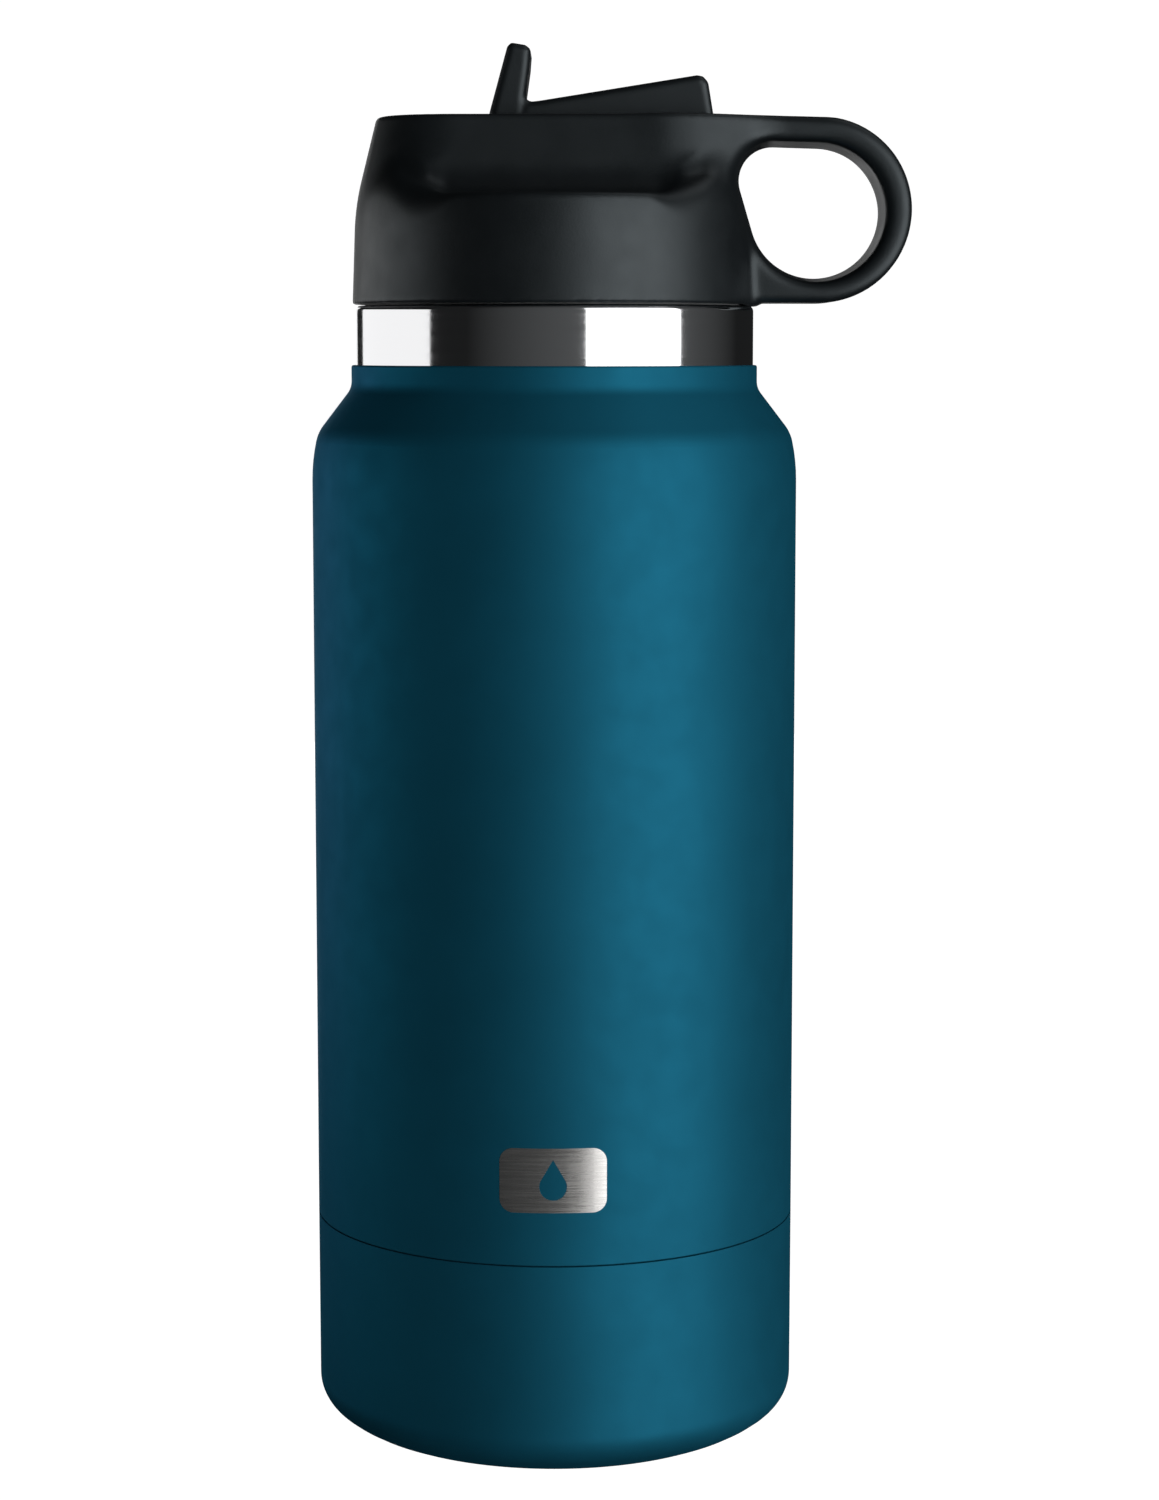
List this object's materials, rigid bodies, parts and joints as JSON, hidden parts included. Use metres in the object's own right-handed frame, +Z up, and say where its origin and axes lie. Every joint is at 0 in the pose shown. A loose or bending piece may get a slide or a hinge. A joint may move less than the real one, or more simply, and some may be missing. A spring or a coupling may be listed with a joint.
{
  "type": "insulated water bottle",
  "caption": "Vacuum-insulated steel water bottle with a screw-in straw lid, flip spout, carry loop and a flush pull-off base cup.",
  "frame": {"origin": "centre of the foot that the bottle stands on", "axes": "+Z up along the bottle's axis, +X towards the carry loop, -Y is the front with the badge"},
  "size_m": [0.0894, 0.073, 0.21],
  "materials": {
    "powder_coat": "matte powder coat, fine orange-peel texture",
    "liner_steel": "electropolished stainless",
    "neck_steel": "polished stainless",
    "badge_steel": "brushed stainless",
    "foil": "bright foil",
    "getter_steel": "plain",
    "seal_glass": "fused bead",
    "lid_plastic": "fine moulded texture",
    "plug_plastic": "moulded",
    "foam": "closed-cell foam",
    "gasket_rubber": "silicone",
    "seal_rubber": "silicone",
    "valve_rubber": "translucent silicone",
    "straw_plastic": "translucent",
    "pin_steel": "plain",
    "pad_rubber": "matte",
    "pad_foam": "closed-cell"
  },
  "bodies": {
    "bottle": {"outer_shell": "powder_coat", "shell_bottom": "liner_steel", "inner_liner": "liner_steel", "liner_bottom": "liner_steel", "neck_band": "neck_steel", "foil_wrap": "foil", "getter_capsule": "getter_steel", "vacuum_seal_bead": "seal_glass", "seal_cover_disc": "liner_steel", "badge": "badge_steel"},
    "base_cup": {"base_cup": "powder_coat", "grip_band": "pad_rubber", "shock_pad": "pad_foam", "foot_pad": "pad_rubber"},
    "lid_ring": {"lid_gasket": "gasket_rubber"},
    "lid": {"lid_shell": "lid_plastic", "lid_plug": "plug_plastic", "lid_foam": "foam", "hinge_pins": "pin_steel", "spout_seal": "seal_rubber", "straw": "straw_plastic", "vent_valve": "valve_rubber"},
    "spout": {"spout": "lid_plastic"}
  },
  "joints": [
    {"name": "cup_off", "type": "slide", "parent": "bottle", "child": "base_cup", "axis": [0, 0, -1], "range_m": [0, 0.03]},
    {"name": "lid_lift", "type": "slide", "parent": "bottle", "child": "lid_ring", "axis": [0, 0, 1], "range_m": [0, 0.0067]},
    {"name": "lid_turn", "type": "hinge", "parent": "lid_ring", "child": "lid", "pos_m": [0, 0, 0.172], "axis": [0, 0, 1], "range_deg": [0, 600]},
    {"name": "spout_flip", "type": "hinge", "parent": "lid", "child": "spout", "pos_m": [-0.004, 0, 0.1946], "axis": [0, -1, 0], "range_deg": [0, 80.7]}
  ],
  "couplings": [
    {"joint": "lid_lift", "follows": "lid_turn", "m_per_rad": 0.00063662}
  ]
}
